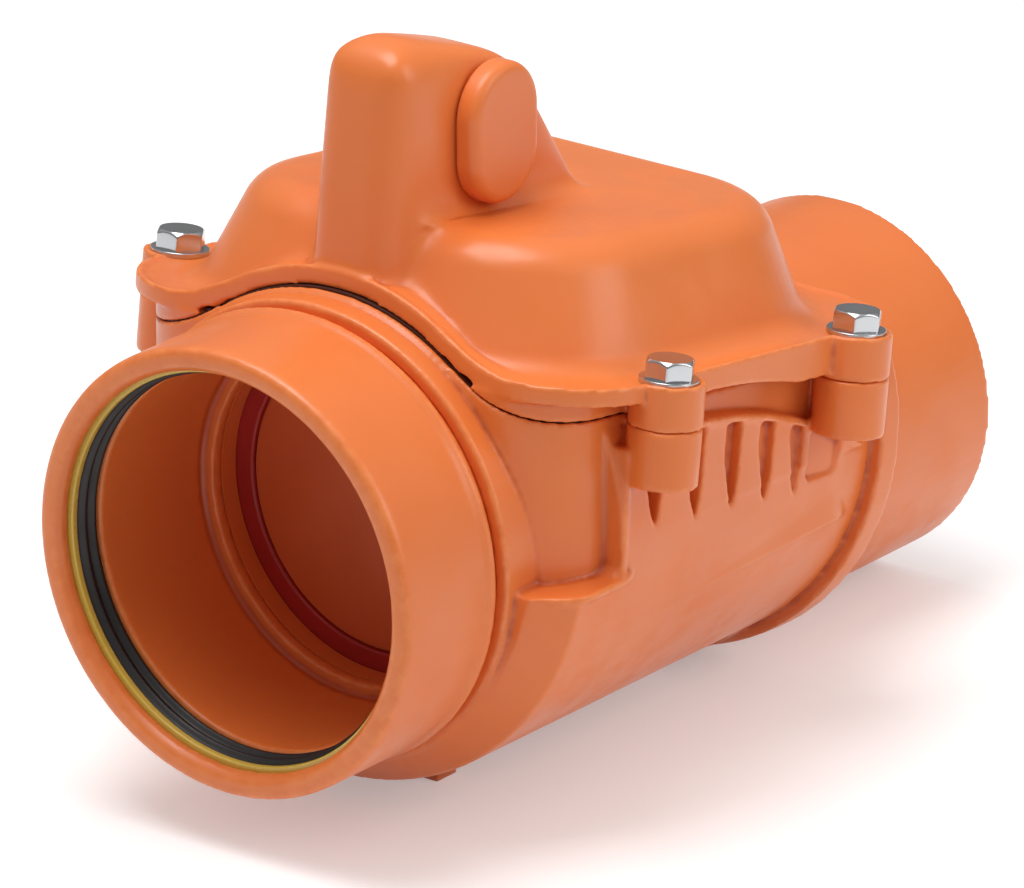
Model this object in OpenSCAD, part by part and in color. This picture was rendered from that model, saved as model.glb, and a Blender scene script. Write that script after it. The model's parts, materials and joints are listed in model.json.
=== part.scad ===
// Backwater valve for a DN110 drain: a socket inlet, a hinged flap in a ribbed chamber,
// a bolted domed cover with a hand lock in its tower, and a lower spigot outlet.
// X runs with the flow, Z is up, and the floor under the feet is Z = 0.

/* [Pipe] */
// Outside diameter of the drain pipe and of the outlet spigot
pipe_d = 110; // [104:1:116]
// Wall of the outlet spigot
spigot_wall = 3.4; // [2.6:0.2:5]
// Free length of the outlet spigot behind the chamber
spigot_len = 80; // [60:1:110]
// Height of the inlet axis above the floor
inlet_h = 83; // [82:1:96]
// How far the outlet axis lies below the inlet axis
outlet_drop = 27; // [16:1:28]

/* [Socket] */
// Length of the socket from its mouth to the collar of the chamber
socket_len = 42; // [36:1:50]
// Wall of the socket around the pipe
socket_wall = 9.8; // [9:0.1:12]
// Radial room between the pipe and the socket bore
socket_room = 0.4; // [0.2:0.1:0.8]
// Depth to which a pipe can be pushed in
pipe_depth = 60; // [57:1:64]
// Height of the stop that the pipe meets
stop_rise = 4; // [3:0.5:5]
// Radial depth of the groove for the lip seal
seal_groove_depth = 5.6; // [4:0.2:6]
// Width of the groove for the lip seal and its retaining ring
seal_groove_w = 10.4; // [9:0.2:13]
// Width of the retaining ring at the mouth side of the seal
retainer_w = 2.2; // [1.6:0.2:3]

/* [Chamber] */
// Length of the chamber from its front wall to the end of its rear band
body_len = 164.5; // [160:0.5:180]
// Length of the collar in front of the chamber
collar_len = 4.5; // [4:0.5:8]
// Radial step from the collar out to the barrel
barrel_step = 16; // [14:0.5:20]
// How much the barrel narrows from front to rear
barrel_taper = 7; // [4:0.5:9]
// Fall of the barrel's lowest line towards the outlet, in degrees
barrel_fall = 1.5; // [0:0.25:2]
// Rounding of the barrel's front end
barrel_round = 10; // [8:1:14]
// Wall of the chamber
body_wall = 4.5; // [3.5:0.25:5]
// Depth of the neck wall behind the widest line of the barrel
neck_inset = 7.4; // [6:0.2:9]
// Corner radius of the neck and of the dome, seen from above
neck_corner = 24; // [20:1:28]
// Distance of the side web's front step behind the front wall
web_step = 28; // [24:1:32]
// Level of the front ledge, below the inlet axis
ledge_drop = 4; // [2:1:8]
// Thickness of the arched shelf over the pockets
shelf_t = 2.2; // [1.6:0.2:3]
// Depth of the shelf's crown below the joint plane
shelf_drop = 4.5; // [3.5:0.5:6]
// Radius of the shelf's arch, seen from the side
shelf_round = 205; // [160:5:260]
// Number of pockets between the ribs on each side
pockets = 5; // [3:1:5]
// Width of the pockets at the shelf
pocket_w = 8; // [6:0.5:9]
// Depth of the front pocket tips below the joint plane
pocket_tip = 33; // [28:1:36]
// How much deeper each next pocket reaches
pocket_fall = 1; // [0:0.2:2]
// Height of the floor pad under the rear band
foot_h = 0.6; // [0.4:0.2:2]

/* [Cover] */
// Tilt of the cover towards the outlet, in degrees
tilt = 7.5; // [5:0.5:9]
// Height of the cover joint above the inlet axis, at the front bolts
joint_z = 38; // [36:1:40]
// Distance of the front bolts behind the front wall
bolt_setback = 41.5; // [38:0.5:45]
// Spacing of the front and rear bolts along the cover
bolt_pitch = 89.3; // [84:0.1:94]
// Distance of the bolts outside the neck wall
bolt_offset = 10.9; // [10:0.1:13]
// Wall of the cover
cover_wall = 4; // [3:0.25:5]
// Thickness of the cover flange
flange_t = 4.5; // [3.5:0.5:6]
// Open height between the flange and the shelf
flange_gap = 7.5; // [6:0.5:9]
// Thickness of the cover gasket
gasket_t = 1.5; // [1:0.25:3]
// Rounding along the roof of the dome
roof_round = 14; // [10:1:18]
// How far the dome's sides lean in, from flange to roof
dome_lean = 15; // [8:0.5:20]
// Corner radius of the dome, seen from above
dome_corner = 50; // [40:1:56]
// Fillet between the dome and its flange
dome_fillet = 9; // [5:0.5:10]
// Reverse curve between the arch over the socket and the flat flange
arch_blend = 45; // [30:1:60]
// Half width of the tower
tower_half = 15; // [14:0.5:18]
// Height of the tower above the roof
tower_rise = 51; // [47:1:56]
// How much the top of the tower falls towards the rear
tower_fall = 7; // [2:0.5:8]

/* [Flap] */
// Width of the flat seat around the opening
seat_w = 7; // [6:0.5:9]
// Thickness of the seat ring
seat_t = 6; // [5:0.5:8]
// Thickness of the flap seal
flap_seal_t = 2.5; // [2:0.25:4]
// Width of the flap seal
flap_seal_w = 9.5; // [8:0.5:12]
// Thickness of the flap disc
flap_t = 3.4; // [3:0.2:5]
// Height of the hinge above the edge of the flap
hinge_rise = 14; // [12:0.5:15]
// Distance of the hinge behind the seat
hinge_back = 7; // [6:0.5:8]
// Radius of the hinge pins
hinge_pin_r = 3; // [2.5:0.25:4]

/* [Lock] */
// Distance of the lock shaft behind the front bolts, along the cover
shaft_back = 4; // [2:0.5:6]
// Height of the lock shaft above the roof
shaft_rise = 23; // [21:0.5:26]
// Radius of the lock shaft
shaft_r = 5; // [4.5:0.25:6]
// Half width of the oval knob
knob_r = 15; // [13:0.5:17]
// Half length of the oval knob
knob_half = 20.5; // [19:0.5:22]
// Thickness of the knob
knob_t = 7; // [5:0.5:9]
// Half thickness of the lock arm
arm_half = 3; // [2.5:0.25:4]
// Angle of the released arm behind the vertical, in degrees
arm_rest = 40; // [36:1:42]

/* [Fasteners] */
// Nominal diameter of the cover bolts
bolt_d = 8; // [6:1:8]

/* [Hidden] */
$fn = 64;

// Clearances
slip = 0.1;      // between pieces that are pushed together
run = 0.05;      // radial play of a turning fit
part_gap = 0.3;  // between a moving piece and its stop
far = 400;       // reach of cutting solids

// Radii about the inlet axis
pipe_r = pipe_d / 2;
bore_r = pipe_r + socket_room;
socket_r = bore_r + socket_wall;
sleeve_r = socket_r - 3;
collar_r = socket_r + 1.8;
groove_r = bore_r + seal_groove_depth;
lead_in = 5;
mouth_lip = 2.6;
retainer_in = 1.4;
seat_r = pipe_r - stop_rise;
barrel_r = collar_r + barrel_step;
neck_half = barrel_r - neck_inset;

// Stations along X from the mouth
front_x = socket_len + collar_len;
rear_x = front_x + body_len;
length = rear_x + spigot_len;
sleeve_end = pipe_depth + stop_rise;
seat_x = sleeve_end + seat_t;
seal_x = seat_x + part_gap;
disc_x = seal_x + flap_seal_t;
flap_back = disc_x + flap_t;
disc_r = seat_r + stop_rise;
neck_front = front_x + 3.5;
neck_rear = rear_x - 5;
web_x = front_x + web_step;
bolt_x = front_x + bolt_setback;
bolt_y = neck_half + bolt_offset;

// Barrel cone, which stands on its rear band and a front foot
band_len = 9;
foot_back = 20;
cone_len = body_len;
rear_r = barrel_r - barrel_taper;
band_rise = 3.5;
cone_tilt = atan(barrel_taper / cone_len) + barrel_fall;
cone_z = foot_h - inlet_h + cone_len * sin(cone_tilt) + (rear_r + band_rise) * cos(cone_tilt);

// Pockets stand closer together towards the rear
pocket_start = 9;
pocket_step = 20;
pocket_squeeze = 1.4;
pocket_floor = -22;
shelf_mid = 20;
ledge_t = 2.2;
edge_lip = 0.9;

// Hinge and lock
hinge_x = seat_x + hinge_back;
hinge_z = disc_r + hinge_rise;
bracket_r = hinge_pin_r + 4;
ear_r = hinge_pin_r + 4;
ear_in = 17;
ear_t = 8;
ear_low = 34;
ear_top = 5;
bracket_in = ear_in + ear_t + 1;
bracket_t = 6;
roof_clear = 3.5;
roof_h = hinge_z + bracket_r + roof_clear + cover_wall - joint_z;
tower_top = roof_h + tower_rise;
tower_front = -bolt_setback + 4;
tower_rear = shaft_back + 48;
tower_low = 10;
tower_fillet = 4;
shaft_z = roof_h + shaft_rise;
boss_r = shaft_r + 5;
boss_t = 3;
arm_hub_r = shaft_r + 4;

// World place of the lock shaft, from the tilted cover frame
shaft_wx = bolt_x + shaft_back * cos(tilt) + shaft_z * sin(tilt);
shaft_wz = joint_z - shaft_back * sin(tilt) + shaft_z * cos(tilt);

// The locked arm presses on the back of the flap just under its upper edge
press_x = flap_back + part_gap + arm_half;
press_z = disc_r - arm_half - 1;
arm_len = norm([shaft_wx - press_x, shaft_wz - press_z]);

// Cover flange
flange_top = flange_gap + flange_t;
flange_front = -bolt_setback + 2.5;
gasket_in = 1.8;
flange_rear = bolt_pitch + 32;
flange_half = bolt_y;
lug_r = bolt_d / 2 + 6.5;
lug_bridge = 9;
spigot_step = 0.8;
boss_h = 17;
arch_r = collar_r + gasket_t;
arch_top = arch_r + flange_t;
arch_end = front_x + 14;
arch_mid = front_x + 6;
rim_t = 2.5;
blend_sink = 0.05;
arch_slack = 0.4;
rim_rise = 10.5;
dome_rear = body_len - bolt_setback - 9;

// Fasteners
bolt_r = bolt_d / 2;
bolt_hole_r = bolt_r + 0.4;
head_af = 1.625 * bolt_d;
head_h = 0.68 * bolt_d;
washer_r = bolt_d + 0.5;
washer_t = 0.2 * bolt_d;
insert_r = bolt_r + 2;
insert_len = boss_h - 2;

orange = [0.88, 0.42, 0.22];
black = [0.13, 0.11, 0.11];
yellow = [0.82, 0.66, 0.26];
red = [0.62, 0.09, 0.07];
steel = [0.78, 0.79, 0.8];
brass = [0.8, 0.65, 0.35];

// Frames and strokes

module from_mouth() translate([-length / 2, 0, inlet_h]) children();

module on_cover() translate([bolt_x, 0, joint_z]) rotate([0, tilt, 0]) children();

module on_barrel() translate([front_x, 0, cone_z]) rotate([0, 90 + cone_tilt, 0]) children();

module tube_x(r, x0, x1) translate([x0, 0, 0]) rotate([0, 90, 0]) cylinder(r = r, h = x1 - x0);

module rod_y(r, y0, y1) translate([0, y0, 0]) rotate([-90, 0, 0]) cylinder(r = r, h = y1 - y0);

// A turned shape about X, drawn as radius across and station up
module turned() rotate([0, 90, 0]) rotate_extrude() children();

// A side profile in X and Z, carried from y0 to y1
module slab_y(y0, y1) translate([0, y1, 0]) rotate([90, 0, 0]) linear_extrude(y1 - y0) children();

// A cross profile in Y and Z, carried from x0 to x1
module slab_x(x0, x1) translate([x0, 0, 0]) rotate([90, 0, 90]) linear_extrude(x1 - x0) children();

// A rectangle from x0 to x1 and y0 to y1 with round corners
module round_rect(x0, x1, y0, y1, r) {
    translate([x0 + r, y0]) square([x1 - x0 - 2 * r, y1 - y0]);
    translate([x0, y0 + r]) square([x1 - x0, y1 - y0 - 2 * r]);
    for (x = [x0 + r, x1 - r], y = [y0 + r, y1 - r])
        translate([x, y]) circle(r);
}

module each_bolt() for (x = [0, bolt_pitch], y = [-bolt_y, bolt_y]) translate([x, y, 0]) children();

// At each bolt, with Y pointing in towards the neck
module each_bolt_bridge() for (x = [0, bolt_pitch], m = [0, 1])
    mirror([0, m, 0]) translate([x, -bolt_y, 0]) children();

// All that lies under the joint: the tilted plane, with an arch over the socket collar
module under_joint(lift, arch) {
    on_cover() translate([-far, -far, -far]) cube([2 * far, 2 * far, far + lift]);
    tube_x(arch, -far / 8, arch_end + arch_slack * lift);
    for (m = [0, 1]) mirror([0, m, 0]) arch_curve(lift, arch);
}

// The reverse curve from the arch into the flat flange: a strip under a circle that all but touches both
module arch_curve(lift, arch) {
    round_r = arch_blend + flange_top - lift;
    level = lift + (bolt_x - arch_mid) * sin(tilt) + joint_z * cos(tilt);
    side = sqrt(pow(arch + round_r, 2) - pow(level + round_r, 2));
    touch = arch / (arch + round_r);
    translate([arch_mid, 0, 0]) rotate([0, tilt, 0])
        slab_x(front_x - arch_mid - 8, arch_end - arch_mid + arch_slack * lift)
        difference() {
            polygon([[side * touch, (level + round_r) * touch], [side, level],
                     [side, level - 2], [side * touch, level - 2]]);
            translate([side, level + round_r - blend_sink]) circle(round_r, $fn = 180);
        }
}

// Chamber

// The barrel with its bevelled front end, drawn in by the inset
module barrel(inset) on_barrel() rotate_extrude() {
    front = barrel_round + inset * (sqrt(2) - 1);
    rear = 14 - inset;
    end = cone_len - inset;
    r_front = barrel_r - inset;
    r_rear = rear_r - inset;
    polygon([[0, inset], [barrel_r - front, inset], [r_front, front],
             [r_rear, end - rear], [r_rear - rear, end], [0, end]]);
    translate([r_rear - rear, end - rear]) circle(rear);
}

// In front of the web step the barrel stops at the ledge
module stepped_barrel(inset) difference() {
    barrel(inset);
    slab_y(-far / 2, far / 2)
        round_rect(-far / 2, web_x + inset, -ledge_drop - inset, far / 2, 6 + inset);
}

// The barrel's hollow, drawn in beside the pockets
module barrel_hollow() intersection() {
    stepped_barrel(body_wall);
    union() {
        translate([0, -neck_half + body_wall, -far / 2]) cube([far, 2 * (neck_half - body_wall), far]);
        translate([0, -far / 2, pocket_floor - far]) cube([far, far, far]);
    }
}

// The upright neck between barrel and cover
module neck(inset) translate([0, 0, -ledge_drop - 20]) linear_extrude(far / 2)
    round_rect(neck_front + inset, neck_rear - inset,
               -neck_half + inset, neck_half - inset, neck_corner - inset);

// All that lies under the crowned shelf, or under a higher or lower line that runs with it
module under_shelf(lift) on_cover() translate([shelf_mid, 0, -shelf_drop - shelf_round])
    rotate([90, 0, 0]) translate([0, 0, -far / 2]) cylinder(r = shelf_round + lift, h = far, $fn = 360);

// Both side walls above the barrel's widest line, flush with it and grown by a lip
module web_block(x1, low, lip) translate([front_x, 0, cone_z]) rotate([0, cone_tilt, 0])
    translate([0, 0, low]) linear_extrude(far / 4) {
        y0 = barrel_r - barrel_taper * web_step / cone_len + lip;
        y1 = barrel_r - barrel_taper * x1 / cone_len + lip;
        polygon([[web_step, -y0], [web_step, y0], [x1, y1], [x1, -y1]]);
    }

// The side walls with the thin edges of their shelf and front step
module side_webs() {
    intersection() {
        web_block(cone_len - 6, -1, 0.2);
        under_shelf(0);
    }
    intersection() {
        web_block(cone_len - 6, -1, edge_lip);
        difference() {
            under_shelf(0);
            under_shelf(-shelf_t);
        }
    }
    intersection() {
        web_block(web_step + ledge_t, -20, edge_lip);
        under_shelf(0);
        translate([0, -far / 2, -ledge_drop - ledge_t / 2]) cube(far);
    }
}

// Pointed pockets between the ribs, and an open recess under each rear lug
module side_pockets() intersection() {
    under_shelf(-shelf_t);
    on_cover() for (y0 = [neck_half, -neck_half - far / 4]) {
        for (k = [0 : pockets - 1])
            translate([pocket_start + k * pocket_step - pocket_squeeze * k * (k - 1) / 2, 0, 0])
                slab_y(y0, y0 + far / 4) {
                    wide = pocket_w - 0.3 * k;
                    tip = pocket_tip + k * pocket_fall;
                    polygon([[-wide, 0], [0, 0], [0, -tip * 0.7], [-wide * 0.15, -tip],
                             [-wide * 0.6, -tip * 0.8], [-wide, -tip * 0.5]]);
                }
        slab_y(y0, y0 + far / 4)
            round_rect(bolt_pitch - 5, bolt_pitch + 11, -pocket_tip, 20, 3);
    }
}

// A thin ledge round the barrel's front corners
module front_ledge() translate([0, 0, -ledge_drop - ledge_t]) linear_extrude(ledge_t)
    round_rect(front_x + 1.5, web_x + 12, -barrel_r - edge_lip, barrel_r + edge_lip, 14);

// Outline of the flange in the cover plane
module flange_outline(inset) {
    round_rect(flange_front + inset, flange_rear - inset,
               -flange_half + inset, flange_half - inset, 30 - inset);
    each_bolt() circle(lug_r - inset);
}

module feet() {
    foot_half = 16;
    foot_len = band_len;
    for (x = [front_x + barrel_round + foot_back, rear_x - foot_len])
        translate([x, -foot_half, -inlet_h]) cube([foot_len, 2 * foot_half, foot_h + 13]);
}

module body_outside() {
    difference() {
        union() {
            stepped_barrel(0);
            side_webs();
        }
        side_pockets();
    }
    neck(0);
    front_ledge();
    on_cover() each_bolt() translate([0, 0, -boss_h]) cylinder(r = lug_r, h = 2 * boss_h);
    on_cover() each_bolt_bridge() translate([-lug_bridge / 2, 0, -boss_h])
        cube([lug_bridge, bolt_offset + 3, 2 * boss_h]);
    tube_x(collar_r, socket_len, front_x + barrel_round);
    on_barrel() translate([0, 0, cone_len - band_len]) cylinder(r = rear_r + band_rise, h = band_len);
    feet();
}

module valve_body() color(orange) from_mouth() difference() {
    union() {
        intersection() {
            body_outside();
            under_joint(0, arch_r - gasket_t);
            translate([socket_len + slip, -far / 2, -far / 2]) cube([rear_x - socket_len - slip, far, far]);
        }
        intersection() {
            difference() {
                neck(0);
                neck(gasket_in - slip);
            }
            under_joint(gasket_t - part_gap, arch_r - part_gap);
        }
        translate([0, 0, -outlet_drop]) {
            tube_x(pipe_r, rear_x - 20, length);
            tube_x(pipe_r + spigot_step, rear_x - 20, rear_x);
        }
    }
    barrel_hollow();
    neck(body_wall);
    tube_x(sleeve_r + slip, 0, sleeve_end + part_gap);
    translate([0, 0, -outlet_drop]) tube_x(pipe_r - spigot_wall, rear_x - 30, length + 1);
    on_cover() each_bolt() translate([0, 0, -insert_len]) cylinder(r = insert_r, h = 2 * insert_len);
}

// Socket

module inlet_socket() color(orange) from_mouth() turned() difference() {
    bead = 1;
    union() {
        round_rect(seat_r, socket_r, 0, socket_len - 3, 2.4);
        translate([seat_r, 5]) square([sleeve_r - seat_r, sleeve_end - 5]);
        translate([seat_r, 5]) square([socket_r - 1.8 - seat_r, socket_len - 5]);
        translate([socket_r - 1, socket_len - 4.5]) circle(bead + 1);
    }
    translate([0, -1]) square([bore_r, pipe_depth + 1]);
    polygon([[0, -1], [bore_r + mouth_lip + 1.6, -1], [bore_r + mouth_lip + 1.6, 0.6],
             [bore_r + mouth_lip, 2.2], [bore_r + mouth_lip, lead_in], [0, lead_in]]);
    translate([bore_r - 1, lead_in]) square([seal_groove_depth + 1, seal_groove_w]);
}

// Black lip ring in the groove, behind its retaining ring
module socket_seal() color(black) from_mouth() turned() {
    x0 = lead_in + retainer_w;
    x1 = lead_in + seal_groove_w;
    difference() {
        translate([bore_r + slip, x0]) square([seal_groove_depth - 2 * slip, x1 - x0]);
        translate([bore_r, (x0 + x1) / 2 + 1]) circle(2);
    }
}

module seal_retainer() color(yellow) from_mouth() turned()
    translate([bore_r + retainer_in, lead_in])
        square([seal_groove_depth - retainer_in - slip, retainer_w]);

// Seat with the two brackets that carry the flap
module valve_seat() color(orange) from_mouth() difference() {
    union() {
        turned() difference() {
            translate([seat_r, sleeve_end]) square([seat_w + 2, seat_t]);
            translate([seat_r + seat_w, seat_x - 1]) square([3, 2]);
        }
        for (side = [-1, 1]) {
            y0 = side > 0 ? bracket_in : -bracket_in - bracket_t;
            slab_y(y0, y0 + bracket_t) {
                polygon([[sleeve_end, seat_r - 8], [seat_x, seat_r - 8], [seat_x, disc_r + 1],
                         [hinge_x + 2, hinge_z - bracket_r + 0.3], [hinge_x - 1, hinge_z + bracket_r - 0.1],
                         [sleeve_end, hinge_z - 6]]);
                translate([hinge_x, hinge_z]) circle(bracket_r);
            }
        }
    }
    tube_x(seat_r, 0, seat_x + 1);
    translate([hinge_x, 0, hinge_z]) rod_y(hinge_pin_r + slip / 2, -far / 4, far / 4);
}

// Flap

module hinge_ear(y0) slab_y(y0, y0 + ear_t) {
    polygon([[disc_x + 0.5, disc_r - ear_low], [flap_back + 2, disc_r - ear_low],
             [hinge_x + ear_r - 1, hinge_z - 3], [hinge_x, hinge_z + ear_r - 0.1],
             [flap_back - 1, hinge_z], [flap_back - 1, disc_r - ear_top],
             [disc_x + 0.5, disc_r - ear_top - 3]]);
    translate([hinge_x, hinge_z]) circle(ear_r);
}

screw_ring = 0.58 * pipe_d / 2;
screw_r = 2;
rib_in = 14;
rib_hub = 12;
rib_t = 3;
rib_h = 3.5;

module each_flap_screw() for (a = [30, 150, 210, 330])
    rotate([a, 0, 0]) translate([0, screw_ring, 0]) children();

module flap_disc() color(orange) from_mouth() difference() {
    union() {
        tube_x(disc_r, disc_x, flap_back);
        turned() for (r = [disc_r - rib_in, rib_hub])
            translate([r - rib_t, flap_back - 0.5]) square([rib_t, rib_h]);
        for (a = [90, 180, 270]) rotate([a, 0, 0])
            translate([flap_back - 0.5, -rib_t / 2, rib_hub - 1])
                cube([rib_h, rib_t, disc_r - rib_in - rib_hub]);
        hinge_ear(ear_in);
        hinge_ear(-ear_in - ear_t);
    }
    translate([hinge_x, 0, hinge_z]) rod_y(hinge_pin_r + run, -far / 4, far / 4);
    each_flap_screw() tube_x(screw_r + slip, disc_x - 1, flap_back + rib_h + 1);
}

flap_seal_in = disc_r - 0.5 - flap_seal_w;

module flap_seal() color(red) from_mouth() turned()
    round_rect(flap_seal_in, disc_r - 0.5, seal_x, disc_x, 1);

plate_x = seal_x + 0.3;

module flap_clamp_plate() color(orange) from_mouth() difference() {
    turned() {
        translate([0, plate_x]) square([flap_seal_in - slip - 1, disc_x - plate_x]);
        translate([0, plate_x + 1]) square([flap_seal_in - slip, disc_x - plate_x - 1]);
    }
    each_flap_screw() tube_x(screw_r, plate_x + 0.8, disc_x + 1);
}

module flap_screws() color(steel) from_mouth() each_flap_screw() {
    tube_x(screw_r - 0.02, plate_x + 0.8, flap_back + 1);
    difference() {
        tube_x(2 * screw_r, flap_back, flap_back + 2.2);
        translate([flap_back + 1.2, -2 * screw_r - 1, -0.5]) cube([2, 4 * screw_r + 2, 1]);
    }
}

module hinge_pins() color(steel) from_mouth() translate([hinge_x, 0, hinge_z])
    for (side = [-1, 1]) mirror([0, side < 0 ? 1 : 0, 0]) {
        rod_y(hinge_pin_r, ear_in - 0.5, bracket_in + bracket_t + 0.5);
        rod_y(hinge_pin_r + 1.8, bracket_in + bracket_t, bracket_in + bracket_t + 2);
    }

// Cover

// Half of the dome's cross profile: a leaning wall with a round upper edge and a filleted foot
module dome_profile(reach, inset, foot) {
    lean = atan(dome_lean / (roof_h - flange_top));
    top = roof_h - inset;
    edge = roof_round - inset;
    low = foot > 0 ? flange_gap + 0.5 : -30;
    draw_in = (1 - sin(lean)) / cos(lean);
    wall = reach + inset - inset / cos(lean);
    x_edge = reach + inset - dome_lean - roof_round * draw_in;
    polygon([[0, low], [reach, low], [reach, flange_top + (wall - reach) / tan(lean)],
             [x_edge + (edge - blend_sink) * cos(lean), top - edge + (edge - blend_sink) * sin(lean)],
             [x_edge, top], [0, top]]);
    translate([x_edge, top - edge]) circle(edge);
    if (foot > 0) difference() {
        polygon([[reach - 1, flange_top - 1], [reach + foot * draw_in, flange_top - 1],
                 [reach + foot * draw_in, flange_top],
                 [reach + foot * draw_in - foot * cos(lean), flange_top + foot * (1 - sin(lean))]]);
        translate([reach + foot * draw_in, flange_top + foot - blend_sink]) circle(foot);
    }
}

// The dome: four turned corners, with the same profile carried between them
module dome(inset, foot) on_cover() {
    corner = dome_corner - inset;
    low = foot > 0 ? flange_gap + 0.5 : -30;
    x0 = tower_front + dome_corner;
    x1 = dome_rear - dome_corner;
    y1 = neck_half - dome_corner;
    for (x = [x0, x1], y = [-y1, y1])
        translate([x, y, 0]) rotate_extrude() intersection() {
            dome_profile(corner, inset, foot);
            translate([0, -far / 2]) square(far);
        }
    for (m = [0, 1]) mirror([0, m, 0]) translate([0, y1, 0])
        slab_x(x0, x1) dome_profile(corner, inset, foot);
    translate([x1, 0, 0]) slab_y(-y1, y1) dome_profile(corner, inset, foot);
    translate([x0, 0, 0]) mirror([1, 0, 0]) slab_y(-y1, y1) dome_profile(corner, inset, foot);
    translate([x0, -y1, low]) cube([x1 - x0, 2 * y1, roof_h - inset - low]);
}

// The tower, with a straight slope behind and round edges
module tower(inset) on_cover() intersection() {
    half = tower_half - inset;
    x0 = tower_front + inset;
    x1 = tower_rear + 10;
    top = tower_top - inset;
    edge = 9 - inset;
    crown = 12 - inset;
    brow = 13.5 - inset;
    slab_y(-half, half) {
        polygon([[x0, tower_low], [x0, top - crown], [x0 + crown, top], [shaft_back + 6, top - tower_fall],
                 [shaft_back + 14, top - tower_fall - 4], [tower_rear - 3 - inset, roof_h + 4],
                 [tower_rear - inset, tower_low]]);
        translate([x0 + crown, top - crown]) circle(crown);
    }
    slab_x(x0 - 1, x1) {
        translate([-half, tower_low - 1]) square([2 * half, top - brow - tower_low + 1]);
        translate([-half + brow, tower_low - 1]) square([2 * (half - brow), top - tower_low + 1]);
        for (y = [-half + brow, half - brow]) translate([y, top - brow]) circle(brow);
    }
    translate([0, 0, tower_low - 1]) linear_extrude(far / 2) round_rect(x0, x1, -half, half, edge);
}

// Fillets along the foot of the tower, where it stands on the flat of the roof
module tower_foot() on_cover() for (m = [0, 1]) mirror([0, m, 0]) intersection() {
    slab_x(tower_front + roof_round - 3, tower_rear - 2) translate([tower_half, roof_h]) difference() {
        translate([-1, -1]) square(tower_fillet + 1);
        translate([tower_fillet, tower_fillet]) circle(tower_fillet);
    }
    slab_y(0, far / 4)
        polygon([[tower_front + roof_round - 3, roof_h - 1],
                 [tower_front + roof_round + 3, roof_h + tower_fillet],
                 [tower_rear - 6, roof_h + tower_fillet], [tower_rear - 2, roof_h - 1]]);
}

// The skirt of the cover, which stands on the gasket in line with the neck
module cover_skirt() intersection() {
    difference() {
        neck(0);
        neck(cover_wall);
    }
    on_cover() translate([-far / 2, -far / 2, 0]) cube([far, far, flange_gap + 1]);
}

// A rim that hangs from the flange between the lugs and runs with the shelf below
module flange_rim() difference() {
    on_cover() for (y0 = [-flange_half, flange_half - rim_t])
        translate([0, y0, part_gap]) cube([bolt_pitch, rim_t, flange_top - part_gap - 0.5]);
    under_shelf(rim_rise);
}

// The flange sheet, which arches over the socket collar at the front
module cover_flange() intersection() {
    on_cover() translate([0, 0, -30]) linear_extrude(far / 4) flange_outline(0);
    difference() {
        under_joint(flange_top, arch_top);
        under_joint(flange_gap, arch_r);
    }
}

// A low bead along the upper edge of the flange
module flange_bead() intersection() {
    on_cover() translate([0, 0, -30]) linear_extrude(far / 4) difference() {
        flange_outline(0);
        flange_outline(1.6);
    }
    difference() {
        under_joint(flange_top + 1, arch_top + 1);
        under_joint(flange_top - 1, arch_top - 1);
    }
}

module cover_shell() difference() {
    union() {
        intersection() {
            dome(0, dome_fillet);
            on_cover() linear_extrude(far / 4) flange_outline(0.8);
        }
        tower(0);
        tower_foot();
        cover_flange();
        flange_bead();
        flange_rim();
        cover_skirt();
    }
    dome(cover_wall, 0);
    tower(cover_wall);
    under_joint(gasket_t, arch_r);
    tube_x(sleeve_r + part_gap, 0, sleeve_end + part_gap);
    on_cover() each_bolt() translate([0, 0, flange_top]) cylinder(r = washer_r + 0.6, h = 12);
}

module cover() color(orange) from_mouth() difference() {
    union() {
        cover_shell();
        on_cover() each_bolt() cylinder(r = lug_r, h = flange_top);
        translate([shaft_wx, 0, shaft_wz]) {
            rod_y(boss_r, -tower_half + 1, -tower_half + cover_wall + boss_t);
            rod_y(boss_r, tower_half - cover_wall - boss_t, tower_half - 1);
        }
    }
    on_cover() each_bolt() translate([0, 0, -1]) cylinder(r = bolt_hole_r, h = far / 4);
    translate([shaft_wx, 0, shaft_wz]) rod_y(shaft_r + run, -far / 4, tower_half - cover_wall + 1.5);
}

module cover_gasket() color(black) from_mouth() intersection() {
    difference() {
        neck(gasket_in);
        neck(body_wall - 0.4);
    }
    difference() {
        under_joint(gasket_t - slip, arch_r - slip);
        under_joint(slip, arch_r - gasket_t + slip);
    }
}

// Fasteners

module cover_bolts() color(steel) from_mouth() on_cover() each_bolt() {
    seat = flange_top + washer_t;
    translate([0, 0, -insert_len + 2]) cylinder(r = bolt_r, h = seat + insert_len - 1);
    intersection() {
        translate([0, 0, seat]) cylinder(d = head_af / cos(30), h = head_h, $fn = 6);
        translate([0, 0, seat]) cylinder(r1 = head_af / 2 + 6, r2 = head_af / 2 - 0.2, h = head_h);
    }
}

module cover_washers() color(steel) from_mouth() on_cover() each_bolt()
    translate([0, 0, flange_top]) difference() {
        cylinder(r = washer_r, h = washer_t);
        translate([0, 0, -1]) cylinder(r = bolt_r + 0.2, h = washer_t + 2);
    }

module cover_inserts() color(brass) from_mouth() on_cover() each_bolt()
    translate([0, 0, -insert_len]) difference() {
        cylinder(r = insert_r - 0.02, h = insert_len - 0.2);
        translate([0, 0, -1]) cylinder(r = bolt_r + 0.02, h = insert_len + 2);
    }

// Lock

knob_back = -tower_half - part_gap - 0.2;
knob_face = knob_back - knob_t;
ring_y = -tower_half + cover_wall / 2 + 1.5;
ring_r = 0.9;
knob_edge = 3;
clip_t = 1;
clip_y = -tower_half + cover_wall + boss_t + 0.2;
shaft_tip = tower_half - cover_wall + 1.2;
arm_y = -clip_y - clip_t - 0.3;

module at_shaft() translate([shaft_wx, 0, shaft_wz]) children();

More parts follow.
